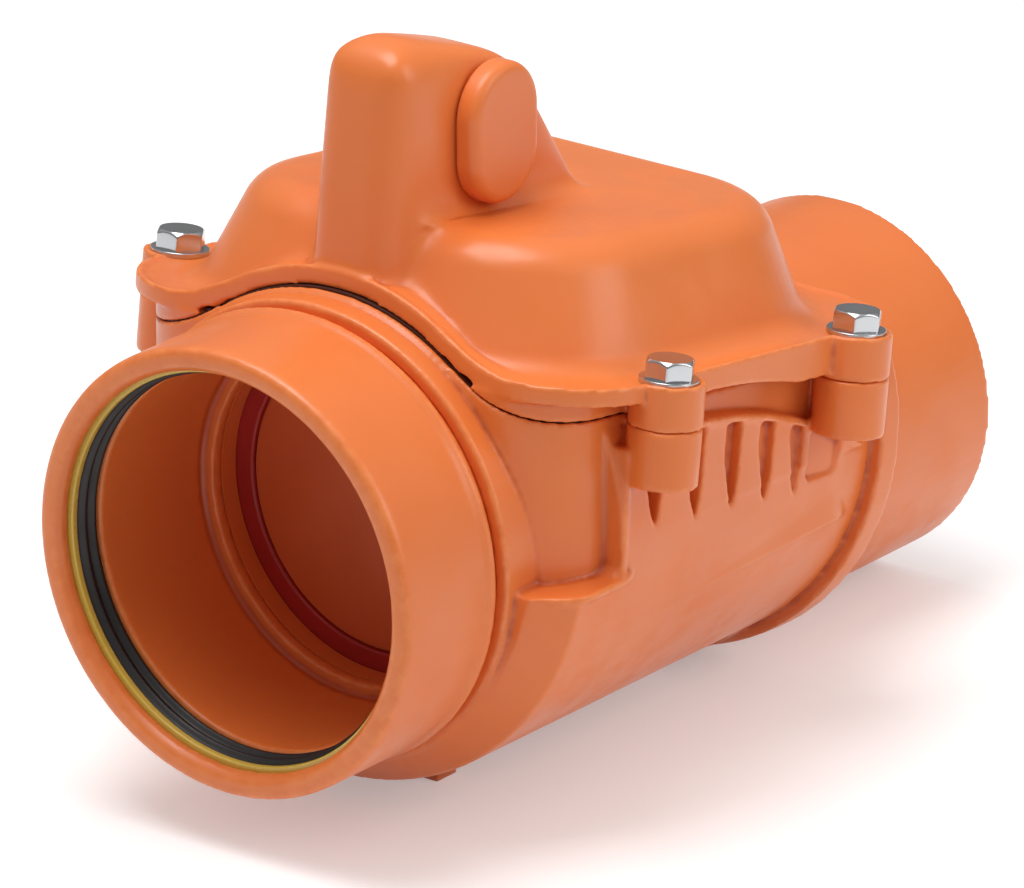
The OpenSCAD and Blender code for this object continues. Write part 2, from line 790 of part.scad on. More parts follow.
module lock_shaft() color(steel) from_mouth() at_shaft() difference() {
    rod_y(shaft_r, knob_back - knob_t / 2, shaft_tip);
    translate([0, ring_y, 0]) rotate([90, 0, 0]) rotate_extrude()
        translate([shaft_r - 2 * ring_r, -ring_r - 0.1]) square([4, 2 * ring_r + 0.2]);
    difference() {
        rod_y(shaft_r + 2, clip_y, clip_y + clip_t);
        rod_y(shaft_r - 1, clip_y - 1, clip_y + clip_t + 1);
    }
    rotate([0, -arm_rest, 0]) translate([0, 0, -far / 8]) cylinder(r = screw_r, h = far / 4);
}

module lock_arm() color(black) from_mouth() at_shaft() rotate([0, -arm_rest, 0]) difference() {
    union() {
        rod_y(arm_hub_r, -arm_y, arm_y);
        slab_y(-arm_y, arm_y)
            polygon([[-arm_hub_r + 1, -4], [arm_hub_r - 1, -4], [arm_half, -arm_len / 2],
                     [arm_half, -arm_len], [-arm_half, -arm_len], [-arm_half, -arm_len / 2]]);
        translate([0, 0, -arm_len]) rod_y(arm_half, -arm_y, arm_y);
    }
    rod_y(shaft_r + slip / 5, -far / 8, far / 8);
    translate([0, 0, -arm_hub_r - 2]) cylinder(r = screw_r, h = far / 8);
}

module arm_pin() color(steel) from_mouth() at_shaft() rotate([0, -arm_rest, 0])
    translate([0, 0, -arm_hub_r - 1]) cylinder(r = screw_r - 0.02, h = 2 * arm_hub_r + 1);

// Half of the knob's cross section, with a round front edge
module knob_profile() {
    square([knob_r - knob_edge, knob_t]);
    square([knob_r, knob_t - knob_edge]);
    translate([knob_r - knob_edge, knob_t - knob_edge]) circle(knob_edge);
}

// The oval knob: two turned ends, with the same section carried between them
module lock_knob() color(orange) from_mouth() at_shaft() difference() {
    stretch = knob_half - knob_r;
    translate([0, knob_back, 0]) rotate([90, 0, 0]) {
        for (z = [-stretch, stretch]) translate([0, z, 0]) rotate_extrude() knob_profile();
        for (m = [0, 1]) mirror([m, 0, 0]) translate([0, stretch, 0]) rotate([90, 0, 0])
            linear_extrude(2 * stretch) knob_profile();
    }
    rod_y(shaft_r + slip / 5, knob_back - knob_t / 2, far / 8);
}

module shaft_seal() color(black) from_mouth() at_shaft() translate([0, ring_y, 0])
    rotate([90, 0, 0]) rotate_extrude() translate([shaft_r - ring_r, 0]) circle(ring_r);

module shaft_clip() color(steel) from_mouth() at_shaft() difference() {
    rod_y(shaft_r + 3, clip_y + 0.05, clip_y + clip_t - 0.05);
    rod_y(shaft_r - 1 + slip, clip_y - 1, clip_y + clip_t + 1);
    translate([-shaft_r + 1.6, clip_y - 1, -far / 8]) cube([2 * shaft_r - 3.2, clip_t + 2, far / 8]);
}

valve_body();
inlet_socket();
socket_seal();
seal_retainer();
valve_seat();
cover();
cover_gasket();
cover_bolts();
cover_washers();
cover_inserts();
flap_disc();
flap_seal();
flap_clamp_plate();
flap_screws();
hinge_pins();
lock_shaft();
lock_arm();
arm_pin();
lock_knob();
shaft_seal();
shaft_clip();
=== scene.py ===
"""Backwater valve of moulded drain plastic.

Finishes, soft moulded edges, fasteners, seals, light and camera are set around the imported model.
"""
import json
import logging
import math
from dataclasses import dataclass, field
from enum import Enum

import bpy
import numpy as np
from mathutils import Matrix, Vector


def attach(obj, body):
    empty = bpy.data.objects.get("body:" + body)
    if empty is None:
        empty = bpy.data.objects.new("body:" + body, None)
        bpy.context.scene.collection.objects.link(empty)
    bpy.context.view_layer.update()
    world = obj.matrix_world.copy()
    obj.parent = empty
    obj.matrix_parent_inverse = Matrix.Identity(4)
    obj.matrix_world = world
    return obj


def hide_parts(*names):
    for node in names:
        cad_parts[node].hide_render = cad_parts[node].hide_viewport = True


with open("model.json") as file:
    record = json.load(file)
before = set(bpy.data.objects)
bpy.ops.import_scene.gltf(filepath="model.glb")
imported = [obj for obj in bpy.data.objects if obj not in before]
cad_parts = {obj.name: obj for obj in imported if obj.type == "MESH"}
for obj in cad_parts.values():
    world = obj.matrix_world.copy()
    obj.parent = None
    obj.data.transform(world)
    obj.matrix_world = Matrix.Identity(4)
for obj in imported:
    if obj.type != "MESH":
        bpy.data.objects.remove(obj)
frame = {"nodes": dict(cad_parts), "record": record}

LOG = logging.getLogger("backwater_valve")
MM = 0.001
RING_POINTS = 192
RING_ANGLES = np.linspace(0.0, 2 * np.pi, RING_POINTS, endpoint=False)[None, :]
TRIANGLE_LIMIT = 190_000
MERGE_STEP = 0.01 * MM
BEND = "bend"
BEND_PASSES = 10
STEP_IN = 0.5
STEP_BACK = -0.2
OUTWARD_GAIN = 4.0
GRAIN_SCALE = 1600.0
PLASTIC_GRAIN = 0.02 * MM
RUBBER_GRAIN = 0.04 * MM
BUMP_STRENGTH = 0.6
SCATTER_DEPTH = 2.0 * MM
SCATTER_SPREAD = (1.0, 0.35, 0.12)
WHITE = (1.0, 1.0, 1.0, 1.0)

Colour = tuple[float, float, float]
Point = tuple[float, float, float]
Shade = Colour | bpy.types.NodeSocket
Looks = dict["Slot", bpy.types.Material]


class Body(str, Enum):
    """The rigid bodies that pieces ride on."""

    HOUSING = "housing"
    FLAP = "flap"
    LOCK = "lock"


class Slot(str, Enum):
    """The record's material slots."""

    BODY = "body_plastic"
    COVER = "cover_plastic"
    FLAP = "flap_plastic"
    ARM = "arm_plastic"
    SEAL = "seal_rubber"
    FLAP_SEAL = "flap_rubber"
    RETAINER = "retainer_plastic"
    BOLT = "bolt_steel"
    SHAFT = "shaft_steel"
    INSERT = "insert_brass"


def linear(srgb: Colour) -> tuple[float, float, float, float]:
    """Turns an sRGB colour of 0 to 255 into the linear colour that a shader takes.

    Args:
        srgb: Red, green and blue from 0 to 255.

    Returns:
        The linear colour with an alpha of 1.
    """
    share = np.asarray(srgb) / 255.0
    value = np.where(share <= 0.04045, share / 12.92, ((share + 0.055) / 1.055) ** 2.4)
    return (float(value[0]), float(value[1]), float(value[2]), 1.0)


# Shared shader effects


class ShaderGroup:
    """A shader node group with named sockets that several finishes share."""

    def __init__(self, name: str) -> None:
        """Starts an empty group.

        Args:
            name: The group's name.
        """
        self.tree = bpy.data.node_groups.new(name, "ShaderNodeTree")
        self.entry = self.tree.nodes.new("NodeGroupInput")
        self.leave = self.tree.nodes.new("NodeGroupOutput")

    def takes(self, name: str, value: float) -> None:
        """Adds a number input with its default value."""
        socket = self.tree.interface.new_socket(name, in_out="INPUT", socket_type="NodeSocketFloat")
        socket.default_value = value

    def gives(self, name: str) -> None:
        """Adds a number output."""
        self.tree.interface.new_socket(name, in_out="OUTPUT", socket_type="NodeSocketFloat")

    def node(self, kind: str, **settings: object) -> bpy.types.Node:
        """Adds a node and sets its properties."""
        made = self.tree.nodes.new(kind)
        for key, value in settings.items():
            setattr(made, key, value)
        return made

    def link(self, start: bpy.types.NodeSocket, end: bpy.types.NodeSocket) -> None:
        """Joins an output socket to an input socket."""
        self.tree.links.new(start, end)

    def noise(self, scale: str, detail: float, roughness: float) -> bpy.types.NodeSocket:
        """Adds noise on Object coordinates whose scale is one of the group's inputs.

        Args:
            scale: The group's input that sets the pattern's scale.
            detail: The octaves of the noise.
            roughness: The share of the fine octaves.

        Returns:
            The noise value from 0 to 1.
        """
        place = self.node("ShaderNodeTexCoord")
        pattern = self.node("ShaderNodeTexNoise")
        pattern.inputs["Detail"].default_value = detail
        pattern.inputs["Roughness"].default_value = roughness
        self.link(place.outputs["Object"], pattern.inputs["Vector"])
        self.link(self.entry.outputs[scale], pattern.inputs["Scale"])
        return pattern.outputs["Fac"]

    def ramp(self, value: bpy.types.NodeSocket, low: float, high: float) -> bpy.types.NodeSocket:
        """Stretches a value so that low becomes 0 and high becomes 1, with soft ends."""
        stretch = self.node("ShaderNodeMapRange", interpolation_type="SMOOTHSTEP")
        stretch.inputs["From Min"].default_value = low
        stretch.inputs["From Max"].default_value = high
        self.link(value, stretch.inputs["Value"])
        return stretch.outputs["Result"]

    def times(self, first: bpy.types.NodeSocket, second: bpy.types.NodeSocket) -> bpy.types.NodeSocket:
        """Multiplies two values."""
        step = self.node("ShaderNodeMath", operation="MULTIPLY")
        self.link(first, step.inputs[0])
        self.link(second, step.inputs[1])
        return step.outputs["Value"]


def moulding_group() -> bpy.types.ShaderNodeTree:
    """Builds the look of moulded plastic: a slow tone from flow in the mould and a fine eroded grain.

    Returns:
        The group, with the outputs Tone, Grain and Haze.
    """
    group = ShaderGroup("moulding_flow")
    group.takes("Flow Scale", 14.0)
    group.takes("Grain Scale", GRAIN_SCALE)
    group.takes("Haze Scale", 60.0)
    for name in ("Tone", "Grain", "Haze"):
        group.gives(name)
    flow = group.noise("Flow Scale", detail=3.0, roughness=0.55)
    grain = group.noise("Grain Scale", detail=2.0, roughness=0.5)
    haze = group.noise("Haze Scale", detail=4.0, roughness=0.6)
    group.link(group.ramp(flow, low=0.3, high=0.7), group.leave.inputs["Tone"])
    group.link(grain, group.leave.inputs["Grain"])
    group.link(group.ramp(haze, low=0.35, high=0.75), group.leave.inputs["Haze"])
    return group.tree


def wear_and_crease_shade_group() -> bpy.types.ShaderNodeTree:
    """Builds masks of worn convex edges and of creases from the bend that softened pieces carry at each
    vertex; the creases are given painted shade.

    Returns:
        The group, with the outputs Wear and Crease.
    """
    group = ShaderGroup("edge_wear_and_crease_shade")
    group.takes("Break Scale", 220.0)
    group.gives("Wear")
    group.gives("Crease Shade")
    shape = group.node("ShaderNodeAttribute", attribute_name=BEND)
    edge = group.ramp(shape.outputs["Fac"], low=0.06, high=0.3)
    chips = group.ramp(group.noise("Break Scale", detail=4.0, roughness=0.6), low=0.35, high=0.65)
    # Painted shade: the crease mask marks where the surface bends inward, for the finishes to darken.
    crease_shade_mask = group.ramp(shape.outputs["Fac"], low=-0.05, high=-0.35)
    group.link(group.times(edge, chips), group.leave.inputs["Wear"])
    group.link(crease_shade_mask, group.leave.inputs["Crease Shade"])
    return group.tree


@dataclass
class SharedEffects:
    """The node groups that the finishes place in their materials."""

    moulding: bpy.types.ShaderNodeTree = field(default_factory=moulding_group)
    edges: bpy.types.ShaderNodeTree = field(default_factory=wear_and_crease_shade_group)


# Finishes


@dataclass(frozen=True)
class Finish:
    """A finish of one material slot.

    Attributes:
        slot: The record's slot.
        tone: Its main colour in sRGB.
        shade: The colour of its darker flow marks.
        worn: The colour along worn edges.
        crease_shade: The painted shade in creases, a darker colour put where the surface bends inward.
        roughness: Its mean roughness.
        roughness_spread: How far haze moves the roughness.
        grain: The depth of its grain in metres.
        grain_scale: The scale of its grain.
        metallic: 1 for bare metal.
        scatter: The share of light that goes into the material.
    """

    slot: Slot
    tone: Colour
    shade: Colour
    worn: Colour
    crease_shade: Colour
    roughness: float
    roughness_spread: float = 0.08
    grain: float = PLASTIC_GRAIN
    grain_scale: float = GRAIN_SCALE
    metallic: float = 0.0
    scatter: float = 0.0

    def material(self, shared: SharedEffects) -> bpy.types.Material:
        """Builds the procedural material.

        Args:
            shared: The node groups used by all finishes.

        Returns:
            The new material.
        """
        made = bpy.data.materials.new(self.slot.value)
        made.use_nodes = True
        tree = made.node_tree
        shader = tree.nodes["Principled BSDF"]
        flow = self._group(tree, shared.moulding)
        flow.inputs["Grain Scale"].default_value = self.grain_scale
        wear_and_shade = self._group(tree, shared.edges)
        body = self._blend(tree, flow.outputs["Tone"], self.shade, self.tone)
        lit = self._blend(tree, wear_and_shade.outputs["Wear"], body, self.worn)
        # Painted shade: creases take the darker crease colour through the crease mask, where shade falls.
        colour = self._blend(tree, wear_and_shade.outputs["Crease Shade"], lit, self.crease_shade)
        tree.links.new(colour, shader.inputs["Base Color"])
        gloss = tree.nodes.new("ShaderNodeMapRange")
        gloss.inputs["To Min"].default_value = self.roughness - self.roughness_spread
        gloss.inputs["To Max"].default_value = self.roughness + self.roughness_spread
        tree.links.new(flow.outputs["Haze"], gloss.inputs["Value"])
        tree.links.new(gloss.outputs["Result"], shader.inputs["Roughness"])
        bump = tree.nodes.new("ShaderNodeBump")
        bump.inputs["Distance"].default_value = self.grain
        bump.inputs["Strength"].default_value = BUMP_STRENGTH
        tree.links.new(flow.outputs["Grain"], bump.inputs["Height"])
        tree.links.new(bump.outputs["Normal"], shader.inputs["Normal"])
        shader.inputs["Metallic"].default_value = self.metallic
        shader.inputs["Subsurface Weight"].default_value = self.scatter
        shader.inputs["Subsurface Scale"].default_value = SCATTER_DEPTH
        shader.inputs["Subsurface Radius"].default_value = SCATTER_SPREAD
        return made

    @staticmethod
    def _group(tree: bpy.types.NodeTree, group: bpy.types.ShaderNodeTree) -> bpy.types.Node:
        """Places a shared group in a material."""
        made = tree.nodes.new("ShaderNodeGroup")
        made.node_tree = group
        return made

    @staticmethod
    def _blend(
        tree: bpy.types.NodeTree, mask: bpy.types.NodeSocket, first: Shade, second: Shade
    ) -> bpy.types.NodeSocket:
        """Mixes two colours by a mask; each is an sRGB colour or a colour socket.

        Args:
            tree: The material's node tree.
            mask: The share of the second colour.
            first: The colour where the mask is 0.
            second: The colour where the mask is 1.

        Returns:
            The mixed colour.
        """
        mix = tree.nodes.new("ShaderNodeMix")
        mix.data_type = "RGBA"
        tree.links.new(mask, mix.inputs["Factor"])
        for name, value in (("A", first), ("B", second)):
            socket = next(s for s in mix.inputs if s.name == name and s.type == "RGBA")
            if isinstance(value, bpy.types.NodeSocket):
                tree.links.new(value, socket)
            else:
                socket.default_value = linear(value)
        return next(s for s in mix.outputs if s.type == "RGBA")


# Painted shadow: the cover's gasket is rubber coloured dark red-brown, to stand in for the shadow in the gap
# between cover and body.
GASKET_SHADOW_FINISH = Finish(
    Slot.SEAL, (74, 30, 16), (62, 24, 12), (86, 40, 24), (46, 18, 9), 0.6, grain=RUBBER_GRAIN
)

# In each row the fourth colour is painted shade for creases.
FINISHES: tuple[Finish, ...] = (
    Finish(Slot.BODY, (232, 124, 60), (227, 118, 55), (237, 134, 72), (190, 78, 26), 0.38, scatter=0.05),
    Finish(Slot.COVER, (233, 126, 62), (228, 120, 57), (238, 136, 74), (192, 80, 28), 0.38, scatter=0.05),
    Finish(Slot.FLAP, (206, 92, 42), (198, 86, 37), (212, 102, 54), (188, 76, 30), 0.42, scatter=0.05),
    Finish(Slot.ARM, (46, 43, 42), (38, 36, 35), (62, 58, 56), (30, 28, 27), 0.45),
    Finish(
        Slot.SEAL, (30, 27, 26), (23, 21, 21), (46, 42, 40), (16, 15, 15), 0.5,
        grain=RUBBER_GRAIN, grain_scale=900.0,
    ),
    Finish(
        Slot.FLAP_SEAL, (176, 34, 28), (158, 27, 22), (190, 52, 44), (140, 20, 16), 0.45,
        grain=RUBBER_GRAIN,
    ),
    Finish(Slot.RETAINER, (214, 184, 82), (205, 174, 72), (224, 198, 108), (182, 148, 54), 0.3),
    Finish(
        Slot.BOLT, (206, 207, 209), (188, 189, 192), (226, 226, 226), (150, 150, 152), 0.2, 0.05,
        metallic=1.0,
    ),
    Finish(
        Slot.SHAFT, (188, 189, 191), (170, 171, 174), (220, 220, 220), (140, 140, 142), 0.3, 0.06,
        metallic=1.0,
    ),
    Finish(
        Slot.INSERT, (202, 164, 92), (188, 150, 80), (224, 196, 130), (150, 118, 60), 0.3, 0.06,
        metallic=1.0,
    ),
)


# Mesh helpers


def mesh_object(name: str, points: np.ndarray, faces: list[list[int]]) -> bpy.types.Object:
    """Makes a smooth-shaded mesh object at the origin.

    Args:
        name: The piece's name.
        points: The vertices in metres, one row each.
        faces: The vertex numbers of each face.

    Returns:
        The new object, linked to the scene.
    """
    mesh = bpy.data.meshes.new(name)
    mesh.from_pydata(points, [], faces)
    mesh.shade_smooth()
    mesh.update()
    made = bpy.data.objects.new(name, mesh)
    bpy.context.scene.collection.objects.link(made)
    return made


def ring_faces(rows: int, columns: int, wrap: bool) -> np.ndarray:
    """Numbers the quads between rings of points, each ring closed on itself.

    Args:
        rows: The number of rings.
        columns: The points in each ring.
        wrap: Whether the last ring joins the first.

    Returns:
        Four vertex numbers for each quad.
    """
    row = np.arange(rows if wrap else rows - 1)[:, None]
    column = np.arange(columns)[None, :]
    next_row = (row + 1) % rows * columns
    next_column = (column + 1) % columns
    corners = (row * columns + column, row * columns + next_column, next_row + next_column, next_row + column)
    return np.stack(np.broadcast_arrays(*corners), axis=-1).reshape(-1, 4)


def eased(corners: np.ndarray, radius: float, steps: int = 6) -> np.ndarray:
    """Rounds the corners of a closed outline.

    Each corner gives way to a parabola: the point at t is the square of 1 - t times a point short of the
    corner, plus twice t times 1 - t times the corner, plus the square of t times a point past the corner.

    Args:
        corners: The outline's corners in order, one row each.
        radius: How far from the corner the parabola starts.
        steps: The points on each parabola.

    Returns:
        The points of the rounded outline.
    """
    before = np.roll(corners, 1, axis=0) - corners
    after = np.roll(corners, -1, axis=0) - corners
    first = corners + radius * before / np.linalg.norm(before, axis=1, keepdims=True)
    last = corners + radius * after / np.linalg.norm(after, axis=1, keepdims=True)
    t = np.linspace(0.0, 1.0, steps)[None, :, None]
    curve = (1 - t) ** 2 * first[:, None] + 2 * t * (1 - t) * corners[:, None] + t ** 2 * last[:, None]
    return curve.reshape(-1, 2)


def finish_piece(piece: bpy.types.Object, node: str, body: Body, slot: Slot, looks: Looks) -> None:
    """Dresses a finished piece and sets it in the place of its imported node.

    Args:
        piece: The finished piece.
        node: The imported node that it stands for.
        body: The rigid body that it rides on.
        slot: Its material slot.
        looks: The material of each slot.
    """
    piece.data.materials.append(looks[slot])
    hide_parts(node)
    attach(piece, body.value)
    LOG.info("%s: %d faces", piece.name, len(piece.data.polygons))


def merged_copy(node: str, name: str) -> bpy.types.Object:
    """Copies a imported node's mesh and joins its loose triangles.

    Args:
        node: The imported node.
        name: The copy's name.

    Returns:
        The copy as a new object at the origin.
    """
    source = frame["nodes"][node].data
    count = len(source.vertices)
    points = np.empty(count * 3)
    source.vertices.foreach_get("co", points)
    points = points.reshape(-1, 3)
    corners = np.empty(len(source.loops), dtype=np.int64)
    source.loops.foreach_get("vertex_index", corners)
    keys = np.round(points / MERGE_STEP).astype(np.int64)
    _, first, back = np.unique(keys, axis=0, return_index=True, return_inverse=True)
    faces = back.reshape(-1)[corners].reshape(-1, 3)
    solid = (faces[:, 0] != faces[:, 1]) & (faces[:, 1] != faces[:, 2]) & (faces[:, 2] != faces[:, 0])
    return mesh_object(name, points[first], faces[solid].tolist())


def apply_modifier(piece: bpy.types.Object, name: str, kind: str, **settings: object) -> None:
    """Adds a modifier with its settings and makes its result the mesh.

    Args:
        piece: The piece to change.
        name: The modifier's name.
        kind: The modifier's type.
        settings: Its properties and their values.
    """
    change = piece.modifiers.new(name, kind)
    for key, value in settings.items():
        setattr(change, key, value)
    bpy.context.view_layer.objects.active = piece
    with bpy.context.temp_override(object=piece, active_object=piece):
        bpy.ops.object.modifier_apply(modifier=change.name)


@dataclass(frozen=True)
class SoftZone:
    """A place on a moulding whose outer edges are rounded further.

    Attributes:
        low: The lowest corner of the zone.
        high: The highest corner of the zone.
        border: The width over which the rounding fades out.
        passes: How often the zone's vertices are evened out.
    """

    low: Point
    high: Point
    border: float
    passes: int

    def share(self, points: np.ndarray, normals: np.ndarray) -> np.ndarray:
        """Works out how far each vertex takes part.

        The share rises from the zone's walls inwards as a smooth step on each axis, the three multiplied.
        It is nought where the surface faces the zone's upright middle line, which leaves inner walls alone.

        Args:
            points: The vertices.
            normals: Their outward directions.

        Returns:
            One number from 0 to 1 for each vertex.
        """
        low, high = np.array(self.low), np.array(self.high)
        depth = np.clip(np.minimum(points - low, high - points) / self.border, 0.0, 1.0)
        inside = np.prod(depth * depth * (3.0 - 2.0 * depth), axis=1)
        arm = points - (low + high) / 2
        arm[:, 2] = np.maximum(arm[:, 2], 0.0)
        outward = np.sum(arm * normals, axis=1) / np.linalg.norm(arm, axis=1)
        return inside * np.clip(outward * OUTWARD_GAIN, 0.0, 1.0)


def even_out(points: np.ndarray, edges: np.ndarray, shares: list[np.ndarray | float]) -> np.ndarray:
    """Moves each vertex towards the mean of its neighbours, once for each share.

    Args:
        points: The vertices.
        edges: Two vertex numbers for each edge.
        shares: For each pass, how much of the way is gone: one number for all, or one for each vertex.

    Returns:
        The moved vertices.
    """
    one, two = edges.T
    count = np.bincount(edges.reshape(-1), minlength=len(points))[:, None]
    for share in shares:
        total = np.zeros_like(points)
        for axis in range(points.shape[1]):
            total[:, axis] = np.bincount(one, points[two, axis], len(points))
            total[:, axis] += np.bincount(two, points[one, axis], len(points))
        points = points + share * (total / count - points)
    return points


def soften(piece: bpy.types.Object, voxel: float, passes: int, zones: tuple[SoftZone, ...]) -> None:
    """Rounds a piece's edges inside and out as a mould does.

    The mesh is laid out anew on an even grid of cells. Each vertex is then moved half way to the mean of its
    neighbours, and a part of the way back, so that edges round off while walls keep their place. In the zones
    the way is always towards the mean. Each vertex keeps its bend, which is how far it stands proud of its
    surroundings in millimetres, for the finish to read. Flat places are then given larger faces.

    Args:
        piece: The merged mesh.
        voxel: The cell's size in metres.
        passes: How often the vertices are evened out.
        zones: The places that are rounded further.
    """
    apply_modifier(piece, "even_cells", "REMESH", mode="VOXEL", voxel_size=voxel)
    mesh = piece.data
    points = np.empty(len(mesh.vertices) * 3)
    mesh.vertices.foreach_get("co", points)
    points = points.reshape(-1, 3)
    normals = np.empty(len(mesh.vertices) * 3)
    mesh.vertices.foreach_get("normal", normals)
    edges = np.empty(len(mesh.edges) * 2, dtype=np.int64)
    mesh.edges.foreach_get("vertices", edges)
    edges = edges.reshape(-1, 2)
    points = even_out(points, edges, [STEP_IN if step % 2 == 0 else STEP_BACK for step in range(passes)])
    for zone in zones:
        share = STEP_IN * zone.share(points, normals.reshape(-1, 3))[:, None]
        points = even_out(points, edges, [share] * zone.passes)
    mesh.vertices.foreach_set("co", points.reshape(-1))
    mesh.update()
    mesh.vertices.foreach_get("normal", normals)
    proud = points - even_out(points, edges, [STEP_IN] * BEND_PASSES)
    bend = np.sum(proud * normals.reshape(-1, 3), axis=1) / MM
    mesh.attributes.new(BEND, "FLOAT", "POINT").data.foreach_set("value", bend.astype(np.float32))
    triangles = 2 * len(mesh.polygons)
    if triangles > TRIANGLE_LIMIT:
        apply_modifier(piece, "larger_flats", "DECIMATE", ratio=TRIANGLE_LIMIT / triangles)
    piece.data.shade_smooth()
    piece.data.update()


# Studio


@dataclass(frozen=True)
class Lamp:
    """A square soft lamp.

    Attributes:
        name: The lamp's name.
        place: Where it hangs.
        power: Its power in watts.
        aim: The point it looks at.
        size: Its side.
    """

    name: str
    place: Point
    power: float
    aim: Point = (0.0, 0.0, 0.08)
    size: float = 0.9

    def hang(self) -> None:
        """Hangs the lamp and turns it to its aim."""
        data = bpy.data.lights.new(self.name, "AREA")
        data.shape = "SQUARE"
        data.size = self.size
        data.energy = self.power
        lamp = bpy.data.objects.new(self.name, data)
        place = Vector(self.place)
        turn = (Vector(self.aim) - place).to_track_quat("-Z", "Y")
        lamp.matrix_world = Matrix.Translation(place) @ turn.to_matrix().to_4x4()
        bpy.context.scene.collection.objects.link(lamp)


LAMPS: tuple[Lamp, ...] = (
    Lamp("key", (-0.25, 0.15, 1.5), 15.0),
    Lamp("side", (0.5, -1.4, 0.8), 6.0),
)


@dataclass(frozen=True)
class Studio:
    """The floor, the light and the camera.

    Attributes:
        eye: The camera's place.
        right: The camera's right in the part's frame.
        up: The camera's up in the part's frame.
        lens: The focal length in millimetres.
        sensor: The sensor's width in millimetres.
        reach: The farthest distance that the camera sees.
        floor_half: Half the floor's side.
        floor_grey: The floor's colour, the same in red, green and blue.
        floor_roughness: The floor's roughness.
        floor_gloss: The weight of the floor's reflections.
        floor_lift: The light that is added where the floor is seen.
        horizon: The light of the surroundings at the horizon.
        zenith: The light of the surroundings overhead.
        full_rise: The upward share of a direction at which the light is that of the zenith.
    """

    eye: Point = (-2.1223, -1.6123, 1.1007)
    right: Point = (0.6074, -0.7944, 0.0)
    up: Point = (0.2847, 0.2177, 0.9336)
    lens: float = 351.56
    sensor: float = 36.0
    reach: float = 50.0
    floor_half: float = 6.0
    floor_grey: float = 0.86
    floor_roughness: float = 0.9
    floor_gloss: float = 0.1
    floor_lift: float = 0.3
    horizon: float = 0.2
    zenith: float = 0.6
    full_rise: float = 0.9

    def camera(self) -> None:
        """Sets the camera at the photographed angle."""
        data = bpy.data.cameras.new("view")
        data.lens = self.lens
        data.sensor_fit = "HORIZONTAL"
        data.sensor_width = self.sensor
        data.clip_end = self.reach
        right = Vector(self.right).normalized()
        back = right.cross(Vector(self.up)).normalized()
        turn = Matrix((right, back.cross(right), back)).transposed()
        view = bpy.data.objects.new("view", data)
        view.matrix_world = Matrix.Translation(Vector(self.eye)) @ turn.to_4x4()
        bpy.context.scene.collection.objects.link(view)
        bpy.context.scene.camera = view

    def floor(self) -> None:
        """Lays a pale floor that keeps the shadow and shows white where the light is full."""
        half = self.floor_half
        corners = np.array([[-half, -half, 0], [half, -half, 0], [half, half, 0], [-half, half, 0]])
        ground = mesh_object("floor", corners, [[0, 1, 2, 3]])
        paint = bpy.data.materials.new("floor_paint")
        paint.use_nodes = True
        tree = paint.node_tree
        matt = tree.nodes["Principled BSDF"]
        grey = self.floor_grey
        matt.inputs["Base Color"].default_value = (grey, grey, grey, 1.0)
        matt.inputs["Roughness"].default_value = self.floor_roughness
        matt.inputs["Specular IOR Level"].default_value = self.floor_gloss
        rays = tree.nodes.new("ShaderNodeLightPath")
        seen = tree.nodes.new("ShaderNodeMath")
        seen.operation = "MAXIMUM"
        tree.links.new(rays.outputs["Is Camera Ray"], seen.inputs[0])
        tree.links.new(rays.outputs["Is Glossy Ray"], seen.inputs[1])
        lift = tree.nodes.new("ShaderNodeMath")
        lift.operation = "MULTIPLY"
        lift.inputs[1].default_value = self.floor_lift
        tree.links.new(seen.outputs["Value"], lift.inputs[0])
        matt.inputs["Emission Color"].default_value = WHITE
        tree.links.new(lift.outputs["Value"], matt.inputs["Emission Strength"])
        ground.data.materials.append(paint)

    def surroundings(self) -> None:
        """Sets a world that is dim at the horizon and bright overhead, and shows white to the camera."""
        world = bpy.data.worlds.new("studio")
        world.use_nodes = True
        tree = world.node_tree
        light = tree.nodes["Background"]
        light.inputs["Color"].default_value = WHITE
        way = tree.nodes.new("ShaderNodeTexCoord")
        parts = tree.nodes.new("ShaderNodeSeparateXYZ")
        tree.links.new(way.outputs["Generated"], parts.inputs["Vector"])
        rise = tree.nodes.new("ShaderNodeMapRange")
        rise.interpolation_type = "SMOOTHSTEP"
        rise.inputs["From Max"].default_value = self.full_rise
        rise.inputs["To Min"].default_value = self.horizon
        rise.inputs["To Max"].default_value = self.zenith
        tree.links.new(parts.outputs["Z"], rise.inputs["Value"])
        rays = tree.nodes.new("ShaderNodeLightPath")
        level = tree.nodes.new("ShaderNodeMath")
        level.operation = "MAXIMUM"
        tree.links.new(rise.outputs["Result"], level.inputs[0])
        tree.links.new(rays.outputs["Is Camera Ray"], level.inputs[1])
        tree.links.new(level.outputs["Value"], light.inputs["Strength"])
        bpy.context.scene.world = world

    def build(self) -> None:
        """Sets up the whole studio."""
        bpy.context.scene.view_settings.view_transform = "Standard"
        self.camera()
        self.floor()
        self.surroundings()
        for lamp in LAMPS:
            lamp.hang()


# Sub-assemblies


@dataclass(frozen=True)
class Moulding:
    """A moulded part whose edges are softened as a mould leaves them.

    Attributes:
        node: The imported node.
        body: The rigid body it rides on.
        slot: Its material slot.
        voxel: The cell size of the softened surface.
        passes: How often its vertices are evened out.
        zones: The places that are rounded further.
    """

    node: str
    body: Body
    slot: Slot
    voxel: float
    passes: int
    zones: tuple[SoftZone, ...] = ()

    def build(self, looks: Looks) -> None:
        """Softens a copy of the node and sets it in the node's place.

        Args:
            looks: The material of each slot.
        """
        piece = merged_copy(self.node, self.node + "_moulding")
        soften(piece, self.voxel, self.passes, self.zones)
        finish_piece(piece, self.node, self.body, self.slot, looks)


TOWER = SoftZone(low=(-0.092, -0.032, 0.142), high=(0.022, 0.032, 0.245), border=0.014, passes=120)

